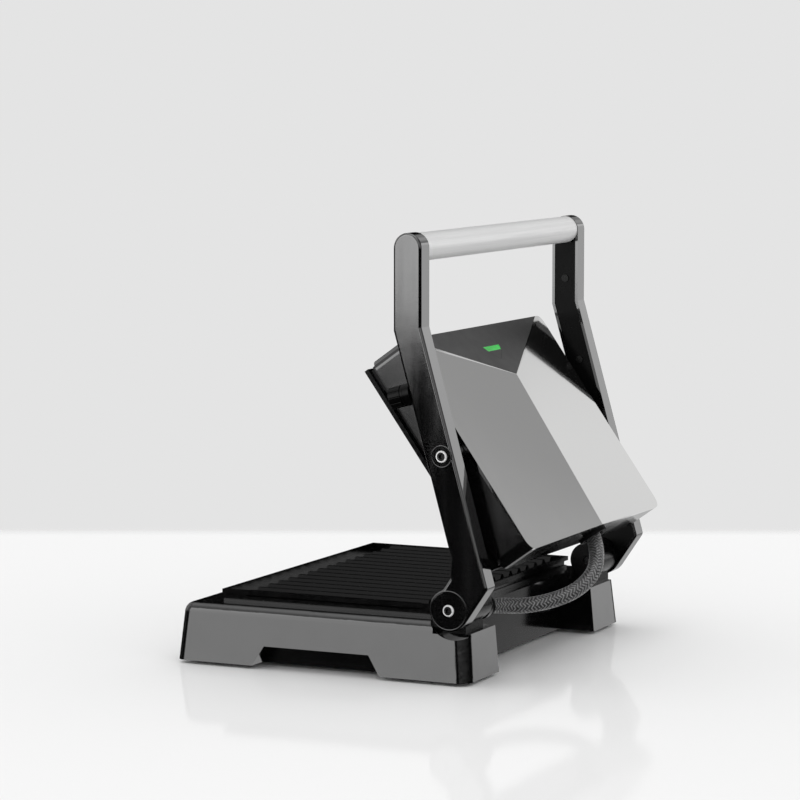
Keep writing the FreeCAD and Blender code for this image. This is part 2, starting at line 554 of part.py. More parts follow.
def gable(inset, drop, low):
    """Solid under the lid's folded surface: two twisted facets and a flat front triangle."""
    half = number_of("lid_half") - inset
    front, rear = number_of("lid_front") + inset, number_of("lid_rear") - inset
    front_z, rear_z = number_of("front_edge") - drop, number_of("rear_edge") - drop
    apex = V(0, number_of("apex_forward"), number_of("apex_high") - drop)
    ridge = V(0, rear, number_of("ridge_rear") - drop)
    faces = []
    corners = {}
    for side in (1, -1):
        corners[side] = (V(side * half, front, front_z), V(side * half, rear, rear_z),
                         V(side * half, front, low), V(side * half, rear, low))
        front_top, rear_top, front_low, rear_low = corners[side]
        faces.append(Part.makeRuledSurface(Part.makeLine(apex, ridge), Part.makeLine(front_top, rear_top)))
        faces.append(polygon(front_top, rear_top, rear_low, front_low))
    right, left = corners[1], corners[-1]
    faces.append(polygon(left[0], right[0], apex))
    faces.append(polygon(left[0], right[0], right[2], left[2]))
    faces.append(polygon(left[1], ridge, right[1], right[3], left[3]))
    faces.append(polygon(left[2], right[2], right[3], left[3]))
    shell = Part.makeShell(faces)
    shell.sewShape()
    solid = Part.makeSolid(shell)
    if solid.Volume < 0:
        solid.reverse()
    return solid


def polygon(*points):
    """Flat face through the points."""
    return Part.Face(Part.makePolygon(list(points) + [points[0]]))


def shaped(name, shape):
    """Document object that holds a shape made with Part's functions."""
    item = doc.addObject("Part::Feature", name)
    item.Shape = shape
    return item


def lid_outline(name, inset, low, height):
    """Lid's plan outline with rounded corners, as a solid between two heights."""
    body = prism(name, "XY_Plane", rectangle(f"-lid_half + {inset}", f"lid_half - {inset}",
                                             f"lid_front + {inset}", f"lid_rear - {inset}"), low, height)
    round_edges(body, name + "Front", f"lid_corner_front - {inset}",
                lambda edge: upright(edge) and edge.BoundBox.YMax < 0)
    return round_edges(body, name + "Rear", f"lid_corner_rear - {inset}",
                       lambda edge: upright(edge) and edge.BoundBox.YMin > 0)


def front_triangle(name, half_width, apex_formula):
    """Tall triangular prism over the lid's front triangle."""
    return prism(name, "XY_Plane", [(f"-({half_width})", "lid_front - 5"),
                                    (half_width, "lid_front - 5"),
                                    (half_width, "lid_front"), ("0", apex_formula),
                                    (f"-({half_width})", "lid_front")], "-10", "80")


def lid_shells():
    """Silver cover, black front panel, black housing and the green window."""
    skin = number_of("cover_skin")
    low = number_of("housing_high")
    outer = shaped("GableOuter", gable(0, 0, low))
    inner = shaped("GableInner", gable(skin, skin, low - 1))
    shell = common("CoverShape", cut("GableShell", outer, inner), lid_outline("CoverOutline", 0, "0", "60"))
    cover = cut("LidCover", shell, front_triangle("PanelHole", "panel_half", "apex_forward - 0.5"))
    node("lid_cover", tilted(cover))
    panel_form = front_triangle("PanelForm", "panel_half - panel_gap", "apex_forward - 0.5 - panel_gap")
    window = window_prism("WindowHole", "window_half")
    panel = cut("LidPanel", common("PanelShape", shell_copy("PanelShell"), panel_form), window)
    node("lid_top_panel", tilted(panel))
    lens = common("WindowLens", shell_copy("WindowShell"), window_prism("WindowForm", "window_half - 0.1"))
    node("indicator_window", tilted(lens))
    lamp = rod("LampGlass", 2.4, 9, 0, "window_front + 2.5", 2, "z")
    holder = box("LampHolder", -8, "window_front - 1", 0, 16, 7, 2.5)
    node("indicator_lamp", tilted(join("IndicatorLamp", [lamp, holder])))


def shell_copy(name):
    """Fresh copy of the lid's folded skin, before its corners are rounded."""
    skin = number_of("cover_skin")
    low = number_of("housing_high")
    outer = shaped(name + "Outer", gable(0, 0, low))
    return cut(name, outer, shaped(name + "Inner", gable(skin, skin, low - 1)))


def window_prism(name, half):
    """Upright prism over the window: a band that narrows rearward."""
    return prism(name, "XY_Plane", [(f"-({half})", "window_front"), (half, "window_front"),
                                    (f"{half} - 3.5", "window_front + window_depth"),
                                    (f"-({half}) + 3.5", "window_front + window_depth")], "-10", "80")


def lid_housing():
    """Black walls between cover and plate, with openings for the pivots and the lead."""
    outer = lid_outline("HousingWall", 0, "housing_low", "housing_high - housing_low")
    inner = lid_outline("HousingSpace", 3, "housing_low - 1", "housing_high - housing_low + 2")
    openings = [rod("PivotHoleRight", "boss_radius", 20, "lid_half - 10", 0, 0, "x"),
                rod("PivotHoleLeft", "boss_radius", 20, "-lid_half - 10", 0, 0, "x"),
                rod("LeadHole", "lead_radius + 4.55", 20, "gland_x", "lid_rear - 10", "gland_high", "y")]
    node("lid_housing", tilted(cut("LidHousing", outer, inner, *openings)))
    ledge = [rod(f"LidScrew{index}", 2, 10, x, y, "housing_high - 11")
             for index, (x, y) in enumerate([(-125, -80), (125, -80), (-125, 80), (125, 80)])]
    node("lid_housing_screws", tilted(join("LidScrews", ledge)))


def lid_pivots():
    """Bosses in the lid's side walls, their bolts and the ring washers on the arms."""
    end = "arm_inner - lid_gap"
    boss = join("PivotBoss", [rod("BossPin", "boss_radius - 0.05", f"{end} - lid_half + 8", "lid_half - 8", 0, 0, "x"),
                              box("BossPlate", "lid_half - 6.1", -16, "housing_low + 4", 3, 32,
                                  "housing_high - housing_low - 5")])
    right = cut("PivotBracket", boss, rod("BossBore", "bore_radius", 60, "lid_half - 20", 0, 0, "x"))
    bracket = node("right_lid_bracket", tilted(right))
    node("left_lid_bracket", mirrored("LeftBracket", bracket))
    pair("right_lid_pivot_bolt", "left_lid_pivot_bolt",
         pivot_bolt("LidBolt", "lid_half - 7", "pivot_y", "pivot_z"))
    pair("right_lid_pivot_washer", "left_lid_pivot_washer", ring_washer("LidWasher", "pivot_y", "pivot_z"))


def upper_plate_group():
    """Plate, bezel, heater, shield, thermostat and studs of the lid, upside down against the base's."""
    flip = (0, 0, 1)
    front, low = "lid_plate_front", "lid_plate_low"
    middle = "lid_plate_front + plate_depth / 2"
    back = "plate_rim + pan_height"
    node("upper_plate", tilted(mirrored("UpperPlate", grill_plate("UpperBlank"), flip), front, low))
    ring = box("UpperBezelRing", "-plate_width / 2 + 1", "lid_plate_front + 1", "housing_low - 1.8",
               "plate_width - 2", "plate_depth - 2", 1.8)
    hole = box("UpperBezelHole", "-plate_width / 2 + 7.3", "lid_plate_front + 7.3", -60,
               "plate_width - 14.6", "plate_depth - 14.6", 90)
    node("upper_plate_bezel", tilted(cut("UpperBezel", ring, hole)))
    node("upper_heating_element", tilted(heater("UpperHeater"), middle, f"{low} + {back} + heater_radius + 0.05"))
    node("upper_heat_shield", tilted(mirrored("UpperShield", heat_shield("UpperShieldBlank"), flip),
                                     f"{front} + shield_inset", f"{low} + {back} + shield_depth"))
    node("upper_thermostat", tilted(mirrored("UpperThermostat", thermostat("UpperThermostatBlank"), flip),
                                    f"{middle} - 5", f"{low} + {back} + 0.05"))
    node("upper_plate_studs", tilted(mirrored("UpperStuds", studs("UpperStudBlank"), flip), middle,
                                     f"{low} + {back} + shield_depth"))


# ---------------------------------------------------------------- lead

def lead():
    """Braided sleeve from the right hinge's collar to the gland in the lid's rear wall."""
    gland = cut("LeadGland", join("LeadGlandBody", [
        rod("GlandPlate", "lead_radius + 6.1", 2.5, "gland_x", "lid_rear", "gland_high", "y"),
        rod("GlandSleeve", "lead_radius + 4.5", 3, "gland_x", "lid_rear - 3", "gland_high", "y")]),
        rod("GlandOpening", "lead_radius + 3.4", 30, "gland_x", "lid_rear - 10", "gland_high", "y"))
    node("lid_lead_gland", tilted(gland))
    angle, rear, up = "lid_angle", "(lid_rear + 1.6)", "gland_high"
    end = V(number_of("gland_x"), number_of(f"pivot_y + {rear} * cos({angle}) + {up} * sin({angle})"),
            number_of(f"pivot_z - {rear} * sin({angle}) + {up} * cos({angle})"))
    start = V(number_of("ear_inner - 8"), number_of("outlet_y"), number_of("outlet_z"))
    route = [start, V(95.5, 123.8, 55.6), V(72, 146.5, 52.6), V(38, 174, 61), V(4, 181, 81.5), end]
    node("lid_lead_sleeve", shaped("LeadSleeve", swept_tube(route, number_of("lead_radius"))))


def swept_tube(route, radius):
    """Tube of straight runs joined by tangent arcs, each arc 0.45 of its shorter run."""
    edges = []
    last = route[0]
    for before, corner, after in zip(route, route[1:], route[2:]):
        into, out = corner - before, after - corner
        reach = 0.45 * min(into.Length, out.Length)
        turn = into.getAngle(out)
        into.normalize()
        out.normalize()
        entry, leave = corner - into * reach, corner + out * reach
        bend_radius = reach / math.tan(turn / 2)
        print(f"lead bend radius {bend_radius:.1f} mm, turn {math.degrees(turn):.0f} degrees")
        toward = out - into
        toward.normalize()
        middle = corner + toward * (((reach ** 2 + bend_radius ** 2) ** 0.5) - bend_radius)
        edges.append(Part.LineSegment(last, entry).toShape())
        edges.append(Part.Arc(entry, middle, leave).toShape())
        last = leave
    edges.append(Part.LineSegment(last, route[-1]).toShape())
    spine = Part.Wire(edges)
    profile = Part.Wire(Part.makeCircle(radius, route[0], route[1] - route[0]))
    tube = spine.makePipeShell([profile], True, False)
    expected = math.pi * radius ** 2 * spine.Length
    print(f"lead length {spine.Length:.1f} mm, volume over section times length {tube.Volume / expected:.4f}")
    return tube


# ---------------------------------------------------------------- build

def check_and_write():
    """Stop if anything failed, then write one file per sub-part."""
    doc.recompute()
    for item in doc.Objects:
        if "Invalid" in item.State or "Error" in item.State:
            raise RuntimeError(f"{item.Name} {item.Label}: {item.State}")
    os.makedirs("parts", exist_ok=True)
    for item in NODES:
        if item.Shape.isNull() or not item.Shape.isValid() or not item.Shape.Solids:
            raise RuntimeError(f"{item.Label} has no valid shape")
        shape = item.Shape.copy()
        shape.translate(V(0, -number_of("frame_back"), 0))
        shape.exportStep(f"parts/{item.Label}.step")
        print(f"{item.Label}: {len(item.Shape.Solids)} solid(s), {item.Shape.Volume / 1000:.2f} cm3")


def build():
    """Make every sub-part and write it."""
    base_housing()
    bottom_cover()
    rubber_feet()
    lower_plate_group()
    base_electrics()
    hinge_ears()
    hinge_hardware()
    arms()
    handle()
    knob()
    lid_shells()
    lid_housing()
    lid_pivots()
    upper_plate_group()
    lead()
    check_and_write()


build()
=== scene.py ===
"""Panini press: finishes, rounded edges, braided lead and studio stage round the fixed CAD frame.

Laid out as a Blender add-on and run as a script. Metres, Z up, +Y from the front edge to the
hinges, +X to the side with the height knob and the lead.
"""

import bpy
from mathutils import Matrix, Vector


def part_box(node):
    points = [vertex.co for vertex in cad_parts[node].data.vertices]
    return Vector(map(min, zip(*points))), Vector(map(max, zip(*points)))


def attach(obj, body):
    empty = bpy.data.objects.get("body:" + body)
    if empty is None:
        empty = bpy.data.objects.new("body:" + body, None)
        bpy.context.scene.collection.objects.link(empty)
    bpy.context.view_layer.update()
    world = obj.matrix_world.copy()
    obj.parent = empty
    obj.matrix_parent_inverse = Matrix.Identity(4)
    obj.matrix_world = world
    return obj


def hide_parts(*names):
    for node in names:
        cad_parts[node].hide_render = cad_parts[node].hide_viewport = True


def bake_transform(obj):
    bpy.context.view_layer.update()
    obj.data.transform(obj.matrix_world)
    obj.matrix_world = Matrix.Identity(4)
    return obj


bl_info = {
    "name": "Panini Press Model",
    "version": (1, 0, 0),
    "blender": (4, 5, 0),
    "location": "3D View > Sidebar > Press",
    "description": "Builds the looks of a jointed panini press round its CAD frame",
    "category": "Object",
}

import math

import bpy
from mathutils import Vector

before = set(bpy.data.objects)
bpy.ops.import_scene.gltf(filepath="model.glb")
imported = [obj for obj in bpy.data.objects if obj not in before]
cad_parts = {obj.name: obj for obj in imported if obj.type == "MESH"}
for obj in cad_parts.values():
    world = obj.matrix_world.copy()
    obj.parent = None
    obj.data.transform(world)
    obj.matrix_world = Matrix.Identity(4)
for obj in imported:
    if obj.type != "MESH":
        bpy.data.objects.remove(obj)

# ------------------------------------------------------------------ settings

HINGE_Y = sum(corner[1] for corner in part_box("right_hinge_bolt")) / 2
HINGE_Z = 0.0622
ARM_FACE_X = 0.1725
# control points of the lead's line: X, Y back from the arm hinge, Z
LEAD_ROUTE = [(0.112, 0.004, 0.057), (0.0955, 0.0058, 0.0556), (0.072, 0.0285, 0.0526),
              (0.038, 0.056, 0.061), (0.004, 0.063, 0.0815), (-0.018, 0.04675, 0.09993)]
# lid pivot: Y back from the arm hinge, and Z
LID_PIVOT = (-0.0062, 0.1845)
LID_TILT = math.radians(54.5)


def on_lid(across, rearward, out):
    """Place, with the lid open, of a point measured from the lid's pivot on the level lid."""
    cos, sin = math.cos(LID_TILT), math.sin(LID_TILT)
    return Vector((across, HINGE_Y + LID_PIVOT[0] + rearward * cos + out * sin,
                   LID_PIVOT[1] - rearward * sin + out * cos))


class PressFinish(bpy.types.PropertyGroup):
    """Colours and gloss of the press's outer parts."""
    shell_black: bpy.props.FloatVectorProperty(
        name="Shell black", description="Colour of the gloss plastic shells", subtype="COLOR",
        default=(0.0022, 0.0022, 0.0023), min=0.0, max=1.0)
    arm_gloss: bpy.props.FloatProperty(
        name="Arm roughness", description="Roughness of the lacquered arms", subtype="FACTOR",
        default=0.07, min=0.0, max=1.0)
    base_gloss: bpy.props.FloatProperty(
        name="Base roughness", description="Roughness of the base shell", subtype="FACTOR",
        default=0.11, min=0.0, max=1.0)
    cover_steel: bpy.props.FloatVectorProperty(
        name="Cover steel", description="Colour of the folded lid cover", subtype="COLOR",
        default=(0.66, 0.66, 0.655), min=0.0, max=1.0)
    handle_metal: bpy.props.FloatVectorProperty(
        name="Handle metal", description="Colour of the handle tube", subtype="COLOR",
        default=(0.80, 0.80, 0.80), min=0.0, max=1.0)
    plate_coat: bpy.props.FloatVectorProperty(
        name="Plate coating", description="Colour of the non-stick grill plates", subtype="COLOR",
        default=(0.0020, 0.0020, 0.0021), min=0.0, max=1.0)
    window_green: bpy.props.FloatVectorProperty(
        name="Window green", description="Colour of the lit indicator window", subtype="COLOR",
        default=(0.032, 0.46, 0.065), min=0.0, max=1.0)


class PressLead(bpy.types.PropertyGroup):
    """Sizes of the braided lead sleeve."""
    radius: bpy.props.FloatProperty(
        name="Radius", description="Outer radius of the sleeve", unit="LENGTH", default=0.0064)
    yarn_depth: bpy.props.FloatProperty(
        name="Yarn depth", description="Height of the yarns over the gaps", unit="LENGTH",
        default=0.00085)
    yarn_pairs: bpy.props.IntProperty(
        name="Yarn pairs", description="Yarns that wind each way round the sleeve", default=10)
    lay_length: bpy.props.FloatProperty(
        name="Lay length", description="Length of one turn of a yarn", unit="LENGTH", default=0.034)


class PressStage(bpy.types.PropertyGroup):
    """Tones of the floor and the surroundings."""
    backdrop: bpy.props.FloatProperty(
        name="Backdrop", description="Brightness behind the floor", subtype="FACTOR", default=0.776)
    ambient: bpy.props.FloatProperty(
        name="Ambient", description="Strength of the even soft light", default=1.10)
    floor_white: bpy.props.FloatProperty(
        name="Floor white", description="Lightness of the floor", subtype="FACTOR", default=0.88)
    floor_sheen: bpy.props.FloatProperty(
        name="Floor sheen", description="Share of mirror reflection in the floor", subtype="FACTOR",
        default=0.13)


def grey(value):
    """Neutral colour."""
    return (value, value, value)


def dimmed(colour, share):
    """The colour times a share, which may be over 1."""
    return tuple(share * part for part in colour)


def finish_settings():
    return bpy.context.scene.press_finish


def lead_settings():
    return bpy.context.scene.press_lead


def stage_settings():
    return bpy.context.scene.press_stage


# ------------------------------------------------------------------ node helpers

class Surface:
    """A new material with one Principled shader and short calls for its procedural detail."""

    def __init__(self, name, colour, roughness, metallic=0.0, ior=1.5):
        self.material = bpy.data.materials.new(name)
        self.material.use_nodes = True
        self.nodes = self.material.node_tree.nodes
        self.links = self.material.node_tree.links
        self.shader = self.nodes["Principled BSDF"]
        self.set("Base Color", (*colour, 1.0))
        self.set("Roughness", roughness)
        self.set("Metallic", metallic)
        self.set("IOR", ior)
        self.place = self.nodes.new("ShaderNodeTexCoord").outputs["Object"]
        self.colour = tuple(colour)
        self.roughness = roughness
        self.normal = None

    def set(self, socket, value):
        self.shader.inputs[socket].default_value = value

    def mapped(self, scale, rotation=(0.0, 0.0, 0.0)):
        mapping = self.nodes.new("ShaderNodeMapping")
        mapping.inputs["Scale"].default_value = scale
        mapping.inputs["Rotation"].default_value = rotation
        self.links.new(self.place, mapping.inputs["Vector"])
        return mapping.outputs["Vector"]

    def noise(self, scale, detail=3.0, place=None):
        noise = self.nodes.new("ShaderNodeTexNoise")
        noise.inputs["Scale"].default_value = scale
        noise.inputs["Detail"].default_value = detail
        self.links.new(place or self.place, noise.inputs["Vector"])
        return noise.outputs["Fac"]

    def spread(self, value, low, high, to_low, to_high):
        """Stretch low to high out over to_low to to_high."""
        ranged = self.nodes.new("ShaderNodeMapRange")
        sockets = ("From Min", "From Max", "To Min", "To Max")
        for socket, number in zip(sockets, (low, high, to_low, to_high)):
            ranged.inputs[socket].default_value = number
        self.links.new(value, ranged.inputs["Value"])
        return ranged.outputs["Result"]

    def vary_roughness(self, value, amount):
        """Let the roughness go up and down by an amount."""
        ranged = self.spread(value, 0.3, 0.7, self.roughness - amount, self.roughness + amount)
        self.links.new(ranged, self.shader.inputs["Roughness"])

    def vary_colour(self, value, other, low=0.35, high=0.65):
        """Blend to the other colour as the value goes from low to high."""
        mix = self.nodes.new("ShaderNodeMix")
        mix.data_type = "RGBA"
        factor, own, changed = mix.inputs[0], mix.inputs[6], mix.inputs[7]
        own.default_value = (*self.colour, 1.0)
        changed.default_value = (*other, 1.0)
        self.links.new(self.spread(value, low, high, 0.0, 1.0), factor)
        self.links.new(mix.outputs[2], self.shader.inputs["Base Color"])

    def bump(self, value, height, strength):
        """Add fine relief on top of the relief so far."""
        bump = self.nodes.new("ShaderNodeBump")
        bump.inputs["Distance"].default_value = height
        bump.inputs["Strength"].default_value = strength
        self.links.new(value, bump.inputs["Height"])
        if self.normal:
            self.links.new(self.normal, bump.inputs["Normal"])
        self.normal = bump.outputs["Normal"]
        self.links.new(self.normal, self.shader.inputs["Normal"])


def cad(node):
    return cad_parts[node]


def dress(material, *nodes):
    """Give CAD nodes a material."""
    for node in nodes:
        slots = cad(node).data.materials
        slots.clear()
        slots.append(material)


def round_edges(width, *nodes, segments=3, angle=32.0):
    """Round the sharp edges of CAD nodes with a bevel, which leaves their size as it is."""
    for node in nodes:
        bevel = cad(node).modifiers.new("RoundedEdges", "BEVEL")
        bevel.width = width
        bevel.segments = segments
        bevel.limit_method = "ANGLE"
        bevel.angle_limit = math.radians(angle)
        bevel.harden_normals = True
        bevel.use_clamp_overlap = True


def both_sides(*stems):
    """Names of the right and left nodes."""
    return [f"{side}_{stem}" for stem in stems for side in ("right", "left")]


# ------------------------------------------------------------------ finishes

def gloss_shell(name, roughness, ior=2.0, drawn=False):
    """Gloss black moulding with faint flow marks or drawn streaks, and fine dust in the lacquer."""
    colour = finish_settings().shell_black
    surface = Surface(name, colour, roughness, ior=ior)
    if drawn:
        streaks = surface.noise(1.0, 4.0, surface.mapped((95.0, 95.0, 9.0)))
        surface.vary_roughness(streaks, 0.035)
        surface.bump(streaks, 0.0006, 0.10)
    else:
        surface.vary_roughness(surface.noise(38.0, 4.0), 0.2 * roughness)
    surface.vary_colour(surface.noise(2400.0, 2.0), dimmed(colour, 4.0), 0.62, 0.75)
    surface.bump(surface.noise(26.0, 2.0), 0.00035, 0.12)
    surface.bump(surface.noise(1500.0, 2.0), 0.00003, 0.25)
    return surface.material


def panel_satin():
    """Dark satin film of the triangular panel."""
    surface = Surface("panel_satin", grey(0.026), 0.42, ior=1.55)
    surface.vary_roughness(surface.noise(80.0, 4.0), 0.03)
    surface.vary_colour(surface.noise(1800.0, 2.0), grey(0.034), 0.55, 0.75)
    surface.bump(surface.noise(1600.0, 3.0), 0.00004, 0.3)
    return surface.material


def grained_plastic(name, colour, roughness, shine=0.5):
    """Satin black moulding with a fine spark-eroded grain."""
    surface = Surface(name, colour, roughness, ior=1.46)
    surface.set("Specular IOR Level", shine)
    surface.vary_roughness(surface.noise(60.0), 0.05)
    surface.bump(surface.noise(1300.0, 4.0), 0.00009, 0.45)
    return surface.material


def brushed_metal(name, colour, roughness, along, tilt=0.0, depth=0.00002, contrast=0.93,
                  metallic=1.0):
    """Metal brushed in one direction: of the three scales in along, the strokes' own is low."""
    surface = Surface(name, colour, roughness, metallic=metallic)
    strokes = surface.noise(1.0, 5.0, surface.mapped(along, (tilt, 0.0, 0.0)))
    surface.vary_roughness(strokes, 0.15 * roughness)
    surface.vary_colour(strokes, dimmed(colour, contrast), 0.3, 0.7)
    surface.bump(strokes, depth, 0.5)
    return surface.material


def turned_metal(name, colour, roughness, metallic=1.0):
    """Small turned or rolled parts: fine machining marks and a little staining."""
    surface = Surface(name, colour, roughness, metallic=metallic)
    surface.vary_roughness(surface.noise(420.0, 3.0), 0.06)
    surface.vary_colour(surface.noise(160.0, 4.0), dimmed(colour, 0.7), 0.45, 0.8)
    surface.bump(surface.noise(2600.0, 2.0), 0.00002, 0.4)
    return surface.material


def plate_coating():
    """Dark non-stick coating: finely pebbled, with paler specks and a low sheen."""
    surface = Surface("plate_coating", finish_settings().plate_coat, 0.15)
    surface.set("Specular IOR Level", 0.25)
    surface.vary_roughness(surface.noise(240.0, 3.0), 0.04)
    surface.vary_colour(surface.noise(1900.0, 2.0), grey(0.010), 0.60, 0.72)
    surface.bump(surface.noise(900.0, 3.0), 0.00006, 0.25)
    return surface.material


def rubber(name):
    """Dull black rubber with a fine grain."""
    surface = Surface(name, grey(0.004), 0.60, ior=1.45)
    surface.set("Specular IOR Level", 0.25)
    surface.vary_roughness(surface.noise(300.0), 0.08)
    surface.bump(surface.noise(1700.0, 3.0), 0.00008, 0.5)
    return surface.material


# ------------------------------------------------------------------ operators

class PRESS_OT_base(bpy.types.Operator):
    """Finish the base: gloss shell, grained bottom, feet, gland and cover screws"""
    bl_idname = "press.base"
    bl_label = "Base"

    def execute(self, context):
        dress(gloss_shell("base_gloss", finish_settings().base_gloss, ior=1.8), "base_housing")
        dress(grained_plastic("bottom_grain", grey(0.012), 0.55), "base_bottom_cover")
        dress(rubber("foot_rubber"), "rubber_feet", "mains_cord_gland")
        dress(turned_metal("cover_screw_steel", (0.32, 0.32, 0.33), 0.32), "bottom_cover_screws")
        round_edges(0.0012, "base_housing")
        round_edges(0.0006, "rubber_feet", "mains_cord_gland")
        round_edges(0.0005, "base_bottom_cover", segments=2)
        return {"FINISHED"}


class PRESS_OT_grill_plates(bpy.types.Operator):
    """Finish the ribbed plates and the dark metal frames round them"""
    bl_idname = "press.grill_plates"
    bl_label = "Grill plates"

    def execute(self, context):
        dress(plate_coating(), "lower_plate", "upper_plate")
        frame_metal = brushed_metal("frame_metal", grey(0.05), 0.24, (20.0, 900.0, 900.0))
        dress(frame_metal, "lower_plate_bezel", "upper_plate_bezel")
        round_edges(0.0008, "lower_plate", "upper_plate", angle=28.0)
        round_edges(0.0003, "lower_plate_bezel", "upper_plate_bezel", segments=2)
        return {"FINISHED"}


class PRESS_OT_arms(bpy.types.Operator):
    """Finish the bent arms: lacquered shells, grained inner covers, steel straps and screws"""
    bl_idname = "press.arms"
    bl_label = "Arms"

    def execute(self, context):
        lacquer = gloss_shell("arm_gloss", finish_settings().arm_gloss, ior=2.3, drawn=True)
        dress(lacquer, *both_sides("arm_shell"))
        grain = grained_plastic("arm_inner_grain", grey(0.0022), 0.30, shine=0.14)
        dress(grain, *both_sides("arm_inner_cover"))
        strap = brushed_metal("strap_steel", (0.30, 0.30, 0.31), 0.38, (900.0, 900.0, 12.0))
        dress(strap, *both_sides("arm_strap"))
        oxide = turned_metal("arm_screw_oxide", grey(0.010), 0.30, metallic=0.6)
        dress(oxide, "arm_cover_screws")
        round_edges(0.0004, *both_sides("arm_inner_cover"), "arm_cover_screws", segments=2)
        return {"FINISHED"}


def solid_mesh(name, vertices, faces, smooth=False):
    """New piece in the scene from plain vertices and faces."""
    mesh = bpy.data.meshes.new(name)
    mesh.from_pydata([tuple(vertex) for vertex in vertices], [], faces)
    mesh.polygons.foreach_set("use_smooth", [smooth] * len(faces))
    piece = bpy.data.objects.new(name, mesh)
    bpy.context.scene.collection.objects.link(piece)
    return piece


def turned_ring(name, middle, profile, around=96):
    """Ring turned about an X line: the profile gives radius and distance along X."""
    vertices, faces = [], []
    for spoke in range(around):
        angle = 2.0 * math.pi * spoke / around
        for radius, along in profile:
            vertices.append((middle[0] + along, middle[1] + radius * math.cos(angle),
                             middle[2] + radius * math.sin(angle)))
    width = len(profile)
    for spoke in range(around):
        here, after = spoke * width, (spoke + 1) % around * width
        faces += [(here + step, here + step + 1, after + step + 1, after + step)
                  for step in range(width - 1)]
    return solid_mesh(name, vertices, faces, smooth=True)


# section of a bead: distance out from its middle radius, and height over the arm's face
BEAD_SECTION = ((0.0007, -0.0001), (0.0005, 0.00008), (0.0002, 0.00014),
                (-0.0002, 0.00014), (-0.0005, 0.00008), (-0.0007, -0.0001))
HINGE_BEAD_RADIUS = 0.0155
LID_PIVOT_BEAD_RADIUS = 0.0085


class PRESS_OT_pivot_bosses(bpy.types.Operator):
    """Lay low ring beads on the arms' outer faces, round the hinges and the lid pivots"""
    bl_idname = "press.pivot_bosses"
    bl_label = "Pivot bosses"

    def execute(self, context):
        lacquer = gloss_shell("boss_gloss", 0.16, ior=1.8)
        places = {
            "hinge": (HINGE_Y, HINGE_Z, HINGE_BEAD_RADIUS),
            "lid_pivot": (HINGE_Y + LID_PIVOT[0], LID_PIVOT[1], LID_PIVOT_BEAD_RADIUS),
        }
        for stem, (y, z, radius) in places.items():
            for side, sign in (("right", 1.0), ("left", -1.0)):
                profile = [(radius + outward, height * sign) for outward, height in BEAD_SECTION]
                ring = turned_ring(f"{side}_{stem}_boss_bead", (sign * ARM_FACE_X, y, z), profile)
                ring.data.materials.append(lacquer)
                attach(ring, "arm_frame")
        return {"FINISHED"}


class PRESS_OT_hinges(bpy.types.Operator):
    """Finish the hinge ears, bolts, thrust rings and bright washers"""
    bl_idname = "press.hinges"
    bl_label = "Hinges and pivots"

    def execute(self, context):
        grain = grained_plastic("ear_grain", grey(0.0020), 0.26, shine=0.2)
        dress(grain, *both_sides("hinge_ear", "lid_bracket"))
        dress(grained_plastic("thrust_ring_nylon", grey(0.02), 0.4), *both_sides("hinge_bush"))
        bolts = both_sides("hinge_bolt", "lid_pivot_bolt")
        washers = both_sides("hinge_washer", "lid_pivot_washer")
        oxide = turned_metal("bolt_black_oxide", (0.035, 0.035, 0.036), 0.26, metallic=0.85)
        dress(oxide, *bolts)
        dress(turned_metal("washer_bright", grey(0.92), 0.24, metallic=0.35), *washers)
        round_edges(0.0008, *both_sides("hinge_ear"))
        round_edges(0.0003, *washers, *bolts)
        return {"FINISHED"}


class PRESS_OT_handle(bpy.types.Operator):
    """Finish the handle tube, its plugs, tie rod and screws"""
    bl_idname = "press.handle"
    bl_label = "Handle"

    def execute(self, context):
        tube = brushed_metal("handle_satin", finish_settings().handle_metal, 0.42,
                             (14.0, 1400.0, 1400.0), metallic=0.3)
        dress(tube, "handle_tube")
        dress(grained_plastic("plug_grain", grey(0.012), 0.5), "handle_end_plugs")
        steel = turned_metal("handle_rod_steel", (0.35, 0.35, 0.36), 0.3)
        dress(steel, "handle_tie_rod", "handle_screws")
        round_edges(0.0004, "handle_tube", segments=2)
        return {"FINISHED"}


class PRESS_OT_knob(bpy.types.Operator):
    """Finish the fluted height knob, its collar and stud"""
    bl_idname = "press.knob"
    bl_label = "Height knob"

    def execute(self, context):
        grain = grained_plastic("knob_grain", grey(0.0018), 0.30, shine=0.16)
        dress(grain, "height_knob", "knob_collar")
        dress(turned_metal("knob_stud_steel", (0.3, 0.3, 0.31), 0.3), "height_knob_stud")
        round_edges(0.0005, "height_knob", "knob_collar")
        return {"FINISHED"}


class PRESS_OT_lid(bpy.types.Operator):
    """Finish the lid: brushed folded cover, gloss panel and housing, lead gland and screws"""
    bl_idname = "press.lid"
    bl_label = "Lid"

    def execute(self, context):
        steel = brushed_metal("cover_brushed", finish_settings().cover_steel, 0.075,
                              (1500.0, 9.0, 1500.0), tilt=LID_TILT, depth=0.000002,
                              contrast=0.96)
        dress(steel, "lid_cover")
        dress(panel_satin(), "lid_top_panel")
        dress(gloss_shell("lid_gloss", 0.14), "lid_housing")
        dress(rubber("gland_rubber"), "lid_lead_gland", "lead_outlet_collar")
        dress(turned_metal("lid_screw_steel", (0.3, 0.3, 0.31), 0.3), "lid_housing_screws")
        round_edges(0.0007, "lid_cover", "lid_housing", angle=25.0)
        round_edges(0.0002, "lid_top_panel", segments=2)
        round_edges(0.0006, "lid_lead_gland", "lead_outlet_collar")
        return {"FINISHED"}


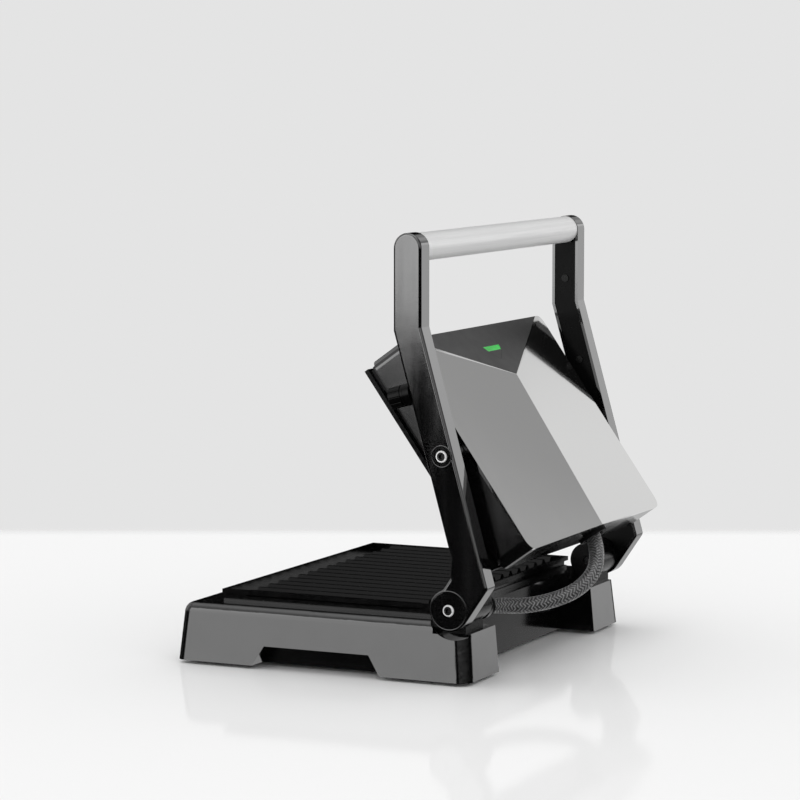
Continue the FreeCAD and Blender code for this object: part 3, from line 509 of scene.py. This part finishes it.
class PRESS_OT_indicator(bpy.types.Operator):
    """Finish the lit green window and the lamp behind it"""
    bl_idname = "press.indicator"
    bl_label = "Indicator"

    def execute(self, context):
        green = tuple(finish_settings().window_green)
        lens = Surface("window_green", green, 0.18)
        glow = lens.noise(1.0, 1.0, lens.mapped((60.0, 160.0, 160.0)))
        lens.vary_colour(glow, dimmed(green, 0.55), 0.35, 0.75)
        lens.set("Emission Color", (*green, 1.0))
        lens.set("Emission Strength", 0.26)
        dress(lens.material, "indicator_window")
        lamp = Surface("lamp_glass", (0.55, 0.9, 0.6), 0.12)
        lamp.vary_roughness(lamp.noise(500.0), 0.05)
        lamp.set("Emission Color", (0.3, 1.0, 0.4, 1.0))
        lamp.set("Emission Strength", 0.6)
        dress(lamp.material, "indicator_lamp")
        return {"FINISHED"}


# the top panel's face rises towards the rear, from this height over the pivot at its front edge
PANEL_FRONT = -0.100
PANEL_FRONT_HEIGHT = 0.0115
PANEL_SLOPE = 0.010 / 0.054
# places on the panel: across, and back from the lid's pivot
WINDOW_END = (0.0125, -0.0722)
MARK_POINT = (0.0030, -0.0638)
MARK_HALF_WIDTH = 0.00028
MARK_LIFT = 0.00006
MARK_DASHES = 7
DASH_SHARE = 0.72


def on_panel(across, rearward):
    """Place just over the top panel's face."""
    height = PANEL_FRONT_HEIGHT + (rearward - PANEL_FRONT) * PANEL_SLOPE + MARK_LIFT
    return on_lid(across, rearward, height)


def dashed_line(name, start, end):
    """Thin dashed line on the top panel, one flat face for each dash."""
    run = Vector((end[0] - start[0], end[1] - start[1]))
    side = Vector((-run.y, run.x)).normalized() * MARK_HALF_WIDTH
    vertices, faces = [], []
    for dash in range(MARK_DASHES):
        low, high = dash / MARK_DASHES, (dash + DASH_SHARE) / MARK_DASHES
        base = len(vertices)
        for share, way in ((low, 1), (high, 1), (high, -1), (low, -1)):
            vertices.append(on_panel(start[0] + run.x * share + way * side.x,
                                     start[1] + run.y * share + way * side.y))
        faces.append((base, base + 1, base + 2, base + 3))
    return solid_mesh(name, vertices, faces)


class PRESS_OT_window_marks(bpy.types.Operator):
    """Draw the fine dashed lines that run from the window's ends to a point"""
    bl_idname = "press.window_marks"
    bl_label = "Window marks"

    def execute(self, context):
        ink = Surface("engraving_black", grey(0.003), 0.5)
        ink.vary_roughness(ink.noise(900.0), 0.1)
        ink.bump(ink.noise(2500.0), 0.00004, 0.5)
        for side, sign in (("right", 1.0), ("left", -1.0)):
            start = (sign * WINDOW_END[0], WINDOW_END[1])
            line = dashed_line(f"{side}_window_line", start, MARK_POINT)
            line.data.materials.append(ink.material)
            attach(line, "lid")
        return {"FINISHED"}


class PRESS_OT_inner_parts(bpy.types.Operator):
    """Finish the hidden heaters, shields, thermostats, studs and terminal block"""
    bl_idname = "press.inner_parts"
    bl_label = "Inner parts"

    def execute(self, context):
        heater = turned_metal("heater_sheath", (0.20, 0.17, 0.15), 0.45)
        dress(heater, "lower_heating_element", "upper_heating_element")
        sheet = brushed_metal("shield_sheet", (0.48, 0.48, 0.47), 0.36, (12.0, 700.0, 700.0))
        dress(sheet, "lower_heat_shield", "upper_heat_shield")
        plain = turned_metal("inner_steel", grey(0.45), 0.35)
        dress(plain, "lower_thermostat", "upper_thermostat", "lower_plate_studs",
              "upper_plate_studs")
        block = Surface("terminal_ceramic", (0.62, 0.60, 0.55), 0.4)
        block.vary_colour(block.noise(220.0), (0.52, 0.50, 0.45))
        block.bump(block.noise(900.0), 0.0001, 0.4)
        dress(block.material, "terminal_block")
        return {"FINISHED"}


def route_line(step):
    """Evenly spaced points of the smooth line that has the lead's route as control points."""
    curve = bpy.data.curves.new("lead_line", "CURVE")
    curve.dimensions = "3D"
    spline = curve.splines.new("NURBS")
    spline.points.add(len(LEAD_ROUTE) - 1)
    for point, (x, back, z) in zip(spline.points, LEAD_ROUTE):
        point.co = (x, HINGE_Y + back, z, 1.0)
    spline.order_u = 3
    spline.use_endpoint_u = True
    spline.resolution_u = 64
    holder = bpy.data.objects.new("lead_line", curve)
    bpy.context.scene.collection.objects.link(holder)
    bpy.context.view_layer.update()
    line = bpy.data.meshes.new_from_object(holder)
    corners = [vertex.co.copy() for vertex in line.vertices]
    bpy.data.objects.remove(holder)
    bpy.data.curves.remove(curve)
    bpy.data.meshes.remove(line)
    lengths = [(after - before).length for before, after in zip(corners, corners[1:])]
    total = sum(lengths)
    count = round(total / step)
    points, walked, leg = [], 0.0, 0
    for index in range(count + 1):
        target = total * index / count
        while leg < len(lengths) - 1 and walked + lengths[leg] < target:
            walked += lengths[leg]
            leg += 1
        share = min(1.0, (target - walked) / lengths[leg])
        points.append(corners[leg].lerp(corners[leg + 1], share))
    return points


def yarn_height(length, turn, pairs, lay):
    """Height from 0 to 1 of a two-over two-under braid at a place on the sleeve."""
    crown = 0.6
    buried = 0.55
    wind = length / lay
    right = pairs * (turn + wind)
    left = pairs * (turn - wind)
    across_right = abs(math.sin(math.pi * right))
    across_left = abs(math.sin(math.pi * left))
    over = math.sin(math.pi * (right + left) * 0.5 + math.pi * 0.25 * math.floor(right))
    top = across_right if over > 0 else across_left
    under = across_left if over > 0 else across_right
    return max(top ** crown, buried * under ** crown)


def braided_half(name, points, first, last, around=72):
    """Mesh tube over part of the line, with its yarns raised in the mesh."""
    settings = lead_settings()
    vertices, faces, tones = [], [], []
    side = Vector((0.0, 0.0, 1.0))
    step = (points[1] - points[0]).length
    rings = 0
    for index in range(len(points)):
        ahead = points[min(index + 1, len(points) - 1)] - points[max(index - 1, 0)]
        ahead.normalize()
        side = (side - ahead * side.dot(ahead)).normalized()
        other = ahead.cross(side)
        if not first <= index <= last:
            continue
        rings += 1
        for spoke in range(around):
            turn = spoke / around
            height = yarn_height(index * step, turn, settings.yarn_pairs, settings.lay_length)
            radius = settings.radius + settings.yarn_depth * (height - 1.0)
            angle = 2.0 * math.pi * turn
            outward = math.cos(angle) * side + math.sin(angle) * other
            vertices.append(points[index] + radius * outward)
            tones.append(height)
    for ring in range(rings - 1):
        for spoke in range(around):
            here, after = ring * around + spoke, ring * around + (spoke + 1) % around
            faces.append((here, after, after + around, here + around))
    piece = solid_mesh(name, vertices, faces, smooth=True)
    # the yarn heights also set the sleeve's colour, where the low parts get painted shade
    tone = piece.data.attributes.new("yarn_height", "FLOAT", "POINT")
    tone.data.foreach_set("value", tones)
    return piece


def braid_finish():
    """Grey woven yarn with fine fibres: pale on the crowns, with painted shade that darkens the
    gaps and the yarns passing under to near black.
    """
    # near black base colour is the painted shade of the gaps; the yarn's own grey is the colour it
    # blends to
    surface = Surface("lead_braid", (0.004, 0.004, 0.0042), 0.36, ior=1.95)
    height = surface.nodes.new("ShaderNodeAttribute")
    height.attribute_name = "yarn_height"
    fibre = surface.noise(2600.0, 3.0)
    # yarn height times fibre noise: low values give the painted shade, high values the yarn's grey
    lit = surface.nodes.new("ShaderNodeMath")
    lit.operation = "MULTIPLY"
    surface.links.new(height.outputs["Fac"], lit.inputs[0])
    surface.links.new(surface.spread(fibre, 0.3, 0.7, 0.75, 1.15), lit.inputs[1])
    surface.vary_colour(lit.outputs[0], (0.36, 0.36, 0.365), 0.74, 1.08)
    surface.bump(fibre, 0.00006, 0.5)
    surface.set("Sheen Weight", 0.25)
    return surface.material


class PRESS_OT_lead(bpy.types.Operator):
    """Braid the lead's sleeve along its route, in two halves"""
    bl_idname = "press.lead"
    bl_label = "Braided lead"

    def execute(self, context):
        points = route_line(0.0004)
        middle = len(points) // 2
        lower = braided_half("lead_sleeve_lower", points, 0, middle)
        upper = braided_half("lead_sleeve_upper", points, middle, len(points) - 1)
        if not lower.data.polygons or not upper.data.polygons:
            raise RuntimeError("the lead's sleeve has no faces")
        finish = braid_finish()
        for piece in (lower, upper):
            piece.data.materials.append(finish)
        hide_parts("lid_lead_sleeve")
        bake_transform(lower)
        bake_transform(upper)
        return {"FINISHED"}


# ------------------------------------------------------------------ stage

class Sky:
    """Surroundings: even light, plain backdrop, and soft panels that gloss reflects."""

    def __init__(self):
        self.world = bpy.data.worlds.new("studio")
        self.world.use_nodes = True
        self.world.cycles.sampling_method = "NONE"
        bpy.context.scene.world = self.world
        self.nodes = self.world.node_tree.nodes
        self.links = self.world.node_tree.links
        self.way = self.nodes.new("ShaderNodeTexCoord").outputs["Generated"]

    def math(self, operation, first, second):
        item = self.nodes.new("ShaderNodeMath")
        item.operation = operation
        for socket, value in zip(item.inputs, (first, second)):
            if isinstance(value, (int, float)):
                socket.default_value = value
            else:
                self.links.new(value, socket)
        return item.outputs[0]

    def along(self, axis):
        """Share of the looking direction that goes along an axis."""
        item = self.nodes.new("ShaderNodeVectorMath")
        item.operation = "DOT_PRODUCT"
        item.inputs[1].default_value = axis
        self.links.new(self.way, item.inputs[0])
        return item.outputs["Value"]

    def window(self, value, low, high, soft):
        """1 between low and high, falling to 0 over the soft width outside."""
        return self.math("MULTIPLY", self.ramp(value, low - soft, low),
                         self.ramp(value, high + soft, high))

    def ramp(self, value, start, end, strength=1.0):
        """0 at the start, smoothly up to the strength at the end."""
        ranged = self.nodes.new("ShaderNodeMapRange")
        ranged.interpolation_type = "SMOOTHSTEP"
        ranged.inputs["From Min"].default_value = start
        ranged.inputs["From Max"].default_value = end
        ranged.inputs["To Max"].default_value = strength
        self.links.new(value, ranged.inputs["Value"])
        return ranged.outputs["Result"]

    def panel(self, azimuth, half_wide, low, high, soft_side, soft_edge, strength):
        """Soft upright panel, all in degrees: azimuth from +X, low and high edges from level."""
        turn = math.radians(azimuth)
        ahead = (math.cos(turn), math.sin(turn), 0.0)
        beside = (-math.sin(turn), math.cos(turn), 0.0)
        depth = self.math("MAXIMUM", self.along(ahead), 0.001)
        across = self.math("DIVIDE", self.along(beside), depth)
        up = self.math("DIVIDE", self.along((0.0, 0.0, 1.0)), depth)
        half_wide, low, high, soft_side, soft_edge = (
            math.tan(math.radians(angle)) for angle in (half_wide, low, high, soft_side, soft_edge))
        wide = self.window(across, -half_wide, half_wide, soft_side)
        tall = self.window(up, low, high, soft_edge)
        front = self.math("GREATER_THAN", self.along(ahead), 0.02)
        lit = self.math("MULTIPLY", self.math("MULTIPLY", wide, tall), front)
        return self.math("MULTIPLY", lit, strength)

    def overhead(self, start, full, strength):
        """Soft ceiling panel from one elevation up to where it is at full strength."""
        return self.ramp(self.along((0.0, 0.0, 1.0)), math.sin(math.radians(start)),
                         math.sin(math.radians(full)), strength)

    def finish(self, reflected, backdrop, ambient, mirror):
        """Choose by the kind of ray: seen backdrop, gloss, mirror floor or even light."""
        ray = self.nodes.new("ShaderNodeLightPath").outputs
        extra = self.math("SUBTRACT", reflected, ambient)
        total = self.math("MULTIPLY", ray["Is Glossy Ray"], extra)
        total = self.math("ADD", total, ambient)
        in_mirror = self.math("MULTIPLY", ray["Is Singular Ray"], ray["Is Glossy Ray"])
        total = self.blend(in_mirror, total, mirror)
        total = self.blend(ray["Is Camera Ray"], total, backdrop)
        self.nodes["Background"].inputs["Color"].default_value = (1.0, 1.0, 1.0, 1.0)
        self.links.new(total, self.nodes["Background"].inputs["Strength"])

    def blend(self, share, first, second):
        """Mix of a socket and a number."""
        item = self.nodes.new("ShaderNodeMix")
        item.data_type = "FLOAT"
        factor, own, other = item.inputs[0], item.inputs[2], item.inputs[3]
        self.links.new(share, factor)
        self.links.new(first, own)
        other.default_value = second
        return item.outputs[0]


# degrees: azimuth, half width, low edge, high edge, side softness, edge softness; strength
PANELS = (
    (-25.0, 15.0, -4.1, 40.0, 7.0, 1.1, 2.1),
    (152.0, 9.0, -5.5, 12.0, 6.0, 3.0, 1.25),
    (162.0, 8.0, 12.0, 38.0, 12.0, 8.0, 0.40),
    (177.0, 10.0, 8.0, 30.0, 9.0, 6.0, 0.52),
    (195.0, 30.0, -60.0, -14.0, 20.0, 8.0, 0.75),
    (-105.0, 20.0, 4.0, 45.0, 12.0, 8.0, 0.70),
    (-60.0, 26.0, 8.0, 50.0, 9.0, 4.0, 0.45),
    (14.0, 24.0, 10.0, 50.0, 10.0, 5.0, 0.45),
    (62.0, 44.0, 9.0, 52.0, 16.0, 9.0, 0.44),
)
# degrees from level where the ceiling panel begins and is full, and its strength
CEILING = (40.0, 78.0, 1.35)
DARK_ROOM = 0.006
MIRRORED_BACKDROP = 0.93

CAMERA_PLACE = (2.482985, HINGE_Y + 1.041659, 0.490401)
CAMERA_PITCH = math.radians(84.1254)
CAMERA_TURN = math.radians(115.13)
CAMERA_LENS = 146.15

# the floor ends this far behind the origin, faded over the last stretch
FLOOR_FAR = 0.705
FLOOR_FADE = 0.065
FLOOR_REACH = 9.0


def build_floor(settings):
    """Wide pale floor that ends softly behind the press, with a faint mirror reflection."""
    ahead = Vector((-math.sin(CAMERA_TURN), math.cos(CAMERA_TURN), 0.0))
    beside = Vector((-ahead.y, ahead.x, 0.0))
    corners = [ahead * FLOOR_FAR + beside * FLOOR_REACH, ahead * FLOOR_FAR - beside * FLOOR_REACH,
               -ahead * FLOOR_REACH - beside * FLOOR_REACH,
               -ahead * FLOOR_REACH + beside * FLOOR_REACH]
    floor = solid_mesh("floor", corners, [(0, 1, 2, 3)])
    floor.visible_glossy = False
    floor.data.materials.append(floor_finish(settings, ahead))


def floor_finish(settings, ahead):
    """Matt white under a thin grained mirror, clear beyond the floor's far edge."""
    material = bpy.data.materials.new("floor_white")
    material.use_nodes = True
    nodes, links = material.node_tree.nodes, material.node_tree.links
    nodes.remove(nodes["Principled BSDF"])
    matt = nodes.new("ShaderNodeBsdfDiffuse")
    matt.inputs["Color"].default_value = (*grey(settings.floor_white), 1.0)
    mirror = nodes.new("ShaderNodeBsdfGlossy")
    mirror.inputs["Roughness"].default_value = 0.0
    grain = nodes.new("ShaderNodeTexNoise")
    grain.inputs["Scale"].default_value = 2600.0
    grain.inputs["Detail"].default_value = 1.0
    relief = nodes.new("ShaderNodeBump")
    relief.inputs["Distance"].default_value = 0.00003
    relief.inputs["Strength"].default_value = 0.20
    links.new(grain.outputs["Fac"], relief.inputs["Height"])
    links.new(relief.outputs["Normal"], mirror.inputs["Normal"])
    sheen = nodes.new("ShaderNodeMixShader")
    sheen.inputs[0].default_value = settings.floor_sheen
    links.new(matt.outputs[0], sheen.inputs[1])
    links.new(mirror.outputs[0], sheen.inputs[2])
    place = nodes.new("ShaderNodeTexCoord")
    links.new(place.outputs["Object"], grain.inputs["Vector"])
    distance = nodes.new("ShaderNodeVectorMath")
    distance.operation = "DOT_PRODUCT"
    distance.inputs[1].default_value = tuple(ahead)
    links.new(place.outputs["Object"], distance.inputs[0])
    fade = nodes.new("ShaderNodeMapRange")
    fade.interpolation_type = "SMOOTHSTEP"
    fade.inputs["From Min"].default_value = FLOOR_FAR - FLOOR_FADE
    fade.inputs["From Max"].default_value = FLOOR_FAR
    links.new(distance.outputs["Value"], fade.inputs["Value"])
    gone = nodes.new("ShaderNodeBsdfTransparent")
    edge = nodes.new("ShaderNodeMixShader")
    links.new(fade.outputs["Result"], edge.inputs[0])
    links.new(sheen.outputs[0], edge.inputs[1])
    links.new(gone.outputs[0], edge.inputs[2])
    links.new(edge.outputs[0], nodes["Material Output"].inputs["Surface"])
    return material


class PRESS_OT_stage(bpy.types.Operator):
    """Set the camera, the pale floor and the soft surroundings"""
    bl_idname = "press.stage"
    bl_label = "Stage"

    def execute(self, context):
        settings = stage_settings()
        camera = bpy.data.objects.new("camera", bpy.data.cameras.new("camera"))
        camera.data.lens = CAMERA_LENS
        camera.data.sensor_width = 36.0
        camera.data.clip_start = 0.05
        camera.data.clip_end = 100.0
        camera.location = CAMERA_PLACE
        camera.rotation_euler = (CAMERA_PITCH, 0.0, CAMERA_TURN)
        context.scene.collection.objects.link(camera)
        context.scene.camera = camera
        context.scene.view_settings.view_transform = "Standard"
        build_floor(settings)
        sky = Sky()
        reflected = sky.overhead(*CEILING)
        for panel in PANELS:
            reflected = sky.math("ADD", reflected, sky.panel(*panel))
        reflected = sky.math("ADD", reflected, DARK_ROOM)
        sky.finish(reflected, settings.backdrop, settings.ambient, MIRRORED_BACKDROP)
        return {"FINISHED"}


# ------------------------------------------------------------------ panel and registration

BUILD_ORDER = (
    PRESS_OT_base, PRESS_OT_grill_plates, PRESS_OT_arms, PRESS_OT_hinges, PRESS_OT_handle,
    PRESS_OT_knob, PRESS_OT_pivot_bosses, PRESS_OT_lid, PRESS_OT_indicator,
    PRESS_OT_window_marks, PRESS_OT_inner_parts, PRESS_OT_lead, PRESS_OT_stage,
)


class PRESS_PT_build(bpy.types.Panel):
    """Buttons that build the press's pieces, and the settings they read"""
    bl_label = "Panini press"
    bl_idname = "PRESS_PT_build"
    bl_space_type = "VIEW_3D"
    bl_region_type = "UI"
    bl_category = "Press"

    def draw(self, context):
        column = self.layout.column(align=True)
        for operator in BUILD_ORDER:
            column.operator(operator.bl_idname)
        for group in ("press_finish", "press_lead", "press_stage"):
            settings = getattr(context.scene, group)
            box = self.layout.box()
            for name in settings.__annotations__:
                box.prop(settings, name)


GROUPS = {"press_finish": PressFinish, "press_lead": PressLead, "press_stage": PressStage}


def register():
    for group in GROUPS.values():
        bpy.utils.register_class(group)
    for operator in BUILD_ORDER:
        bpy.utils.register_class(operator)
    bpy.utils.register_class(PRESS_PT_build)
    for name, group in GROUPS.items():
        setattr(bpy.types.Scene, name, bpy.props.PointerProperty(type=group))


def unregister():
    for name in GROUPS:
        delattr(bpy.types.Scene, name)
    bpy.utils.unregister_class(PRESS_PT_build)
    for operator in reversed(BUILD_ORDER):
        bpy.utils.unregister_class(operator)
    for group in GROUPS.values():
        bpy.utils.unregister_class(group)


def main():
    """Register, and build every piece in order."""
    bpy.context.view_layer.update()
    register()
    bpy.ops.press.base()
    bpy.ops.press.grill_plates()
    bpy.ops.press.arms()
    bpy.ops.press.hinges()
    bpy.ops.press.handle()
    bpy.ops.press.knob()
    bpy.ops.press.pivot_bosses()
    bpy.ops.press.lid()
    bpy.ops.press.indicator()
    bpy.ops.press.window_marks()
    bpy.ops.press.inner_parts()
    bpy.ops.press.lead()
    bpy.ops.press.stage()


if __name__ == "__main__":
    main()
